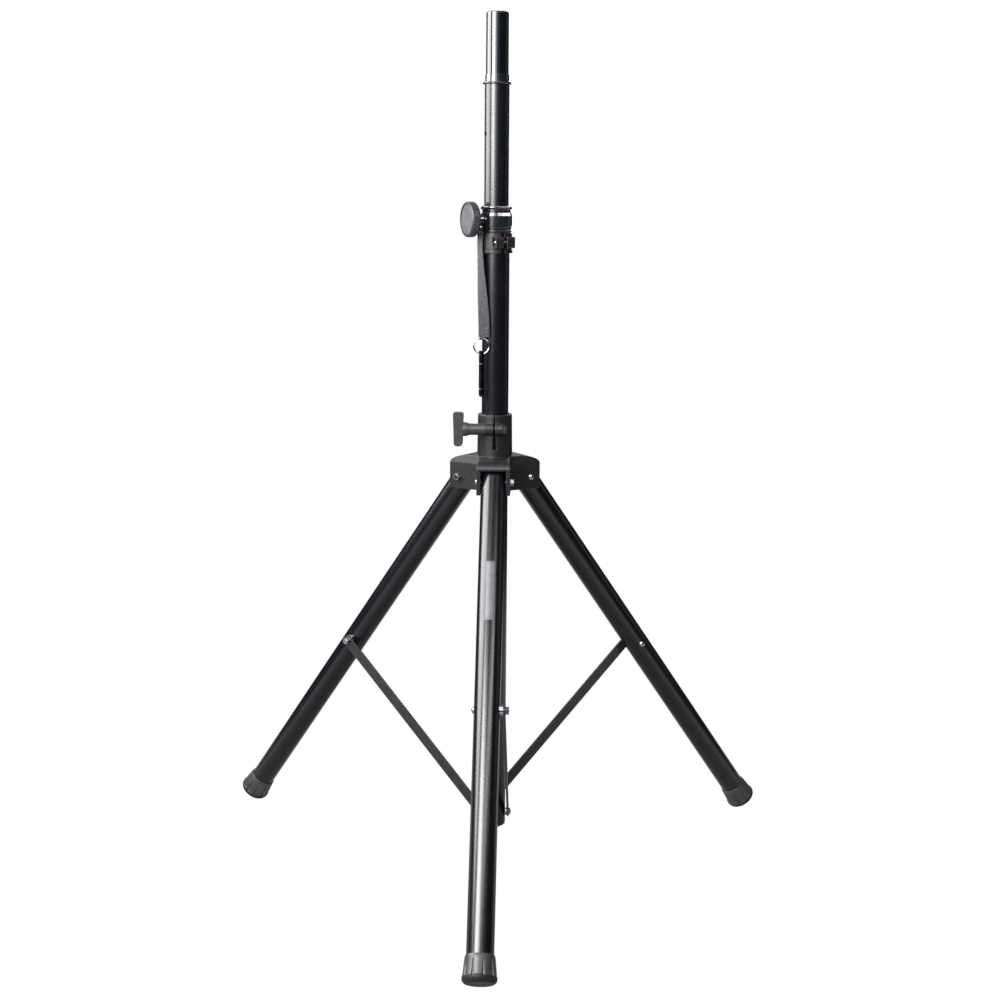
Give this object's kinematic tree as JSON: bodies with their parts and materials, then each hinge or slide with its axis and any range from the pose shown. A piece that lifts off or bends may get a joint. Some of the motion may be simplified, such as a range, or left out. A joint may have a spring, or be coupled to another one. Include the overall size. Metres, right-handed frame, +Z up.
{
  "type": "tripod loudspeaker stand",
  "caption": "Folding tripod stand for a loudspeaker, with a telescoping mast, a 35 mm spigot, clamp knobs, braced legs and rubber feet.",
  "frame": {"origin": "on the mast axis at floor level", "axes": "+Z up along the mast, the front leg points along -Y"},
  "size_m": [0.8916, 0.7788, 1.3119],
  "materials": {
    "black_tube": "gloss black powder coat",
    "black_spigot": "gloss black enamel",
    "moulded_hub": "fine textured moulding",
    "moulded_gloss": "smooth moulding",
    "knob_plastic": "fine textured moulding",
    "knob_face": "satin disc",
    "inner_plastic": "as moulded",
    "zinc_steel": "bright zinc plate",
    "chrome_steel": "polished",
    "dark_steel": "black oxide",
    "black_bar": "satin black paint",
    "rubber": "moulded rubber, light bloom",
    "webbing": "woven polyester webbing",
    "label_film": "brushed foil"
  },
  "bodies": {
    "hub": {"hub": "moulded_hub", "hub_bush": "inner_plastic", "clamp_bolt": "chrome_steel", "pivot_bolts": "chrome_steel", "pivot_nuts": "zinc_steel"},
    "mast": {"main_tube": "black_tube", "mast_plug": "moulded_gloss", "plug_inserts": "zinc_steel", "lock_collar": "moulded_gloss", "collar_liner": "moulded_gloss", "split_collar": "moulded_hub", "collar_screw": "chrome_steel", "collar_nut": "zinc_steel", "boss_screws": "zinc_steel", "strap_rivet": "zinc_steel", "strap_tab": "webbing"},
    "glide": {"guide_bush": "inner_plastic"},
    "upper_tube": {"upper_tube": "black_tube", "tube_end_plug": "inner_plastic", "stop_ring": "moulded_gloss", "spigot": "black_spigot", "spigot_plug": "moulded_gloss"},
    "lock_pad": {"pressure_pad": "inner_plastic"},
    "lock_knob": {"lock_stud": "zinc_steel", "lock_knob": "knob_plastic", "lock_knob_cap": "knob_face"},
    "knob_sleeve": {"knob_sleeve": "knob_plastic"},
    "t_knob": {"t_knob": "knob_plastic", "t_knob_insert": "zinc_steel"},
    "strap_end": {"strap": "webbing", "strap_loop": "webbing"},
    "key_ring": {"key_ring": "chrome_steel"},
    "safety_pin": {"safety_pin": "dark_steel"},
    "leg_front": {"leg_tube_front": "black_tube", "leg_insert_front": "inner_plastic", "foot_front": "rubber", "brace_bolt_front": "chrome_steel", "brace_nut_front": "zinc_steel", "brace_spacer_front": "chrome_steel", "leg_label": "label_film"},
    "brace_front": {"brace_front": "black_bar", "brace_screw_front": "zinc_steel"},
    "leg_right": {"leg_tube_right": "black_tube", "leg_insert_right": "inner_plastic", "foot_right": "rubber", "brace_bolt_right": "chrome_steel", "brace_nut_right": "zinc_steel", "brace_spacer_right": "chrome_steel"},
    "brace_right": {"brace_right": "black_bar", "brace_screw_right": "zinc_steel"},
    "leg_left": {"leg_tube_left": "black_tube", "leg_insert_left": "inner_plastic", "foot_left": "rubber", "brace_bolt_left": "chrome_steel", "brace_nut_left": "zinc_steel", "brace_spacer_left": "chrome_steel"},
    "brace_left": {"brace_left": "black_bar", "brace_screw_left": "zinc_steel"}
  },
  "joints": [
    {"name": "mast_slide", "type": "slide", "parent": "hub", "child": "mast", "axis": [0, 0, 1], "range_m": [-0.18246, 0]},
    {"name": "leg_fold_front", "type": "hinge", "parent": "hub", "child": "leg_front", "pos_m": [0, -0.051, 0.61438], "axis": [1, 0, 0], "range_deg": [0, 35.3]},
    {"name": "brace_fold_front", "type": "hinge", "parent": "leg_front", "child": "brace_front", "pos_m": [0, -0.26709, 0.32021], "axis": [1, 0, 0], "range_deg": [-73.29, 0]},
    {"name": "leg_fold_right", "type": "hinge", "parent": "hub", "child": "leg_right", "pos_m": [0.04417, 0.0255, 0.61438], "axis": [-0.5, 0.866, 0], "range_deg": [0, 35.3]},
    {"name": "brace_fold_right", "type": "hinge", "parent": "leg_right", "child": "brace_right", "pos_m": [0.2313, 0.13354, 0.32021], "axis": [-0.5, 0.866, 0], "range_deg": [-73.29, 0]},
    {"name": "leg_fold_left", "type": "hinge", "parent": "hub", "child": "leg_left", "pos_m": [-0.04417, 0.0255, 0.61438], "axis": [-0.5, -0.866, 0], "range_deg": [0, 35.3]},
    {"name": "brace_fold_left", "type": "hinge", "parent": "leg_left", "child": "brace_left", "pos_m": [-0.2313, 0.13354, 0.32021], "axis": [-0.5, -0.866, 0], "range_deg": [-73.29, 0]},
    {"name": "tube_lift", "type": "slide", "parent": "mast", "child": "glide", "axis": [0, 0, 1], "range_m": [-0.177, 0.6]},
    {"name": "tube_turn", "type": "hinge", "parent": "glide", "child": "upper_tube", "pos_m": [0, 0, 1.20693], "axis": [0, 0, 1], "continuous": true},
    {"name": "lock_feed", "type": "slide", "parent": "mast", "child": "lock_pad", "axis": [-0.8988, -0.4384, 0], "range_m": [0, 0.0025]},
    {"name": "lock_turn", "type": "hinge", "parent": "lock_pad", "child": "lock_knob", "pos_m": [0, 0, 1.00843], "axis": [-0.8988, -0.4384, 0], "range_deg": [0, 720]},
    {"name": "clamp_feed", "type": "slide", "parent": "hub", "child": "knob_sleeve", "axis": [-1, 0, 0], "range_m": [0, 0.0025]},
    {"name": "clamp_turn", "type": "hinge", "parent": "knob_sleeve", "child": "t_knob", "pos_m": [-0.0148, -0.0275, 0.69237], "axis": [-1, 0, 0], "range_deg": [0, 720]},
    {"name": "strap_swing", "type": "hinge", "parent": "mast", "child": "strap_end", "pos_m": [-0.0236, -0.0134, 0.94993], "axis": [-0.866, 0.5, 0], "range_deg": [0, 28.3]},
    {"name": "ring_swing", "type": "hinge", "parent": "strap_end", "child": "key_ring", "pos_m": [-0.0205, -0.0213, 0.83083], "axis": [-1, 0, 0], "range_deg": [0, 70]},
    {"name": "pin_swing", "type": "hinge", "parent": "key_ring", "child": "safety_pin", "pos_m": [-0.0205, -0.0213, 0.80712], "axis": [-1, 0, 0], "range_deg": [0, 80]}
  ],
  "couplings": [
    {"joint": "leg_fold_front", "follows": "mast_slide", "rad_per_m": -3.3765},
    {"joint": "brace_fold_front", "follows": "mast_slide", "rad_per_m": 7.0103},
    {"joint": "leg_fold_right", "follows": "mast_slide", "rad_per_m": -3.3765},
    {"joint": "brace_fold_right", "follows": "mast_slide", "rad_per_m": 7.0103},
    {"joint": "leg_fold_left", "follows": "mast_slide", "rad_per_m": -3.3765},
    {"joint": "brace_fold_left", "follows": "mast_slide", "rad_per_m": 7.0103},
    {"joint": "lock_feed", "follows": "lock_turn", "m_per_rad": 0.00019894},
    {"joint": "clamp_feed", "follows": "clamp_turn", "m_per_rad": 0.00019894},
    {"joint": "strap_swing", "follows": "mast_slide", "rad_per_m": -2.7051}
  ]
}
